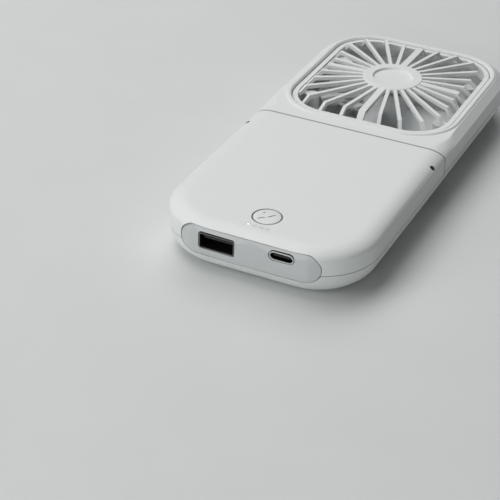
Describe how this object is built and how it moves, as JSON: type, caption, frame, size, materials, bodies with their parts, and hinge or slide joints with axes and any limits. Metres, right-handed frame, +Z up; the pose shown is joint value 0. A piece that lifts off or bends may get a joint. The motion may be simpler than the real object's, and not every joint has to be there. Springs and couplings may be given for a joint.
{
  "type": "foldable desk fan",
  "caption": "White pocket fan with a built-in power bank: a flat base with ports and a push button, and a hinged head that folds back so it stands on a desk.",
  "frame": {"origin": "on the underside, at the middle of the unfolded fan, which is the line where base and head meet", "axes": "+X across the width, +Y from the port end to the head's far end, +Z up through the button and the grille"},
  "size_m": [0.077, 0.174, 0.022],
  "materials": {
    "white_case": "fine matte moulded ABS",
    "port_plate": "fine matte inlay",
    "bright_steel": "nickel-plated sheet and pins",
    "black_insulator": "moulded nylon",
    "board_green": "solder mask on glass fibre board",
    "cell_foil": "laminated pouch foil",
    "clear_guide": "clear acrylic",
    "lamp_lens": "phosphor lens",
    "bush_brass": "sintered bronze bush"
  },
  "bodies": {
    "base": {"base_front_shell": "white_case", "base_rear_shell": "white_case", "base_screw_1": "bright_steel", "base_screw_2": "bright_steel", "base_screw_3": "bright_steel", "base_screw_4": "bright_steel", "battery_cell": "cell_foil", "charge_lamp_1": "lamp_lens", "charge_lamp_2": "lamp_lens", "charge_lamp_3": "lamp_lens", "charge_lamp_4": "lamp_lens", "circuit_board": "board_green", "friction_washer_left": "bright_steel", "friction_washer_right": "bright_steel", "hinge_pin": "bright_steel", "light_guide": "clear_guide", "port_plate": "port_plate", "push_switch": "bright_steel", "usb_a_shell": "bright_steel", "usb_a_tongue": "black_insulator", "usb_c_shell": "bright_steel", "usb_c_tongue": "black_insulator"},
    "head": {"head_front_shell": "white_case", "head_rear_shell": "white_case", "front_grille": "white_case", "motor_can": "bright_steel", "motor_end_cap": "black_insulator", "motor_bush": "bush_brass", "head_screw_1": "bright_steel", "head_screw_2": "bright_steel", "head_screw_3": "bright_steel", "head_screw_4": "bright_steel"},
    "rotor": {"impeller": "white_case", "motor_shaft": "bright_steel"},
    "button": {"button_cap": "white_case", "switch_plunger": "black_insulator"}
  },
  "joints": [
    {"name": "head_fold", "type": "hinge", "parent": "base", "child": "head", "pos_m": [0, 0, 0.0049], "axis": [-1, 0, 0], "range_deg": [0, 90]},
    {"name": "fan_spin", "type": "hinge", "parent": "head", "child": "rotor", "pos_m": [0, 0.0445, 0.0049], "axis": [0, 0, 1], "continuous": true},
    {"name": "button_press", "type": "slide", "parent": "base", "child": "button", "axis": [0, 0, -1], "range_m": [0, 0.0005], "stiffness_N_per_m": 600, "springref_m": -0.0005}
  ]
}
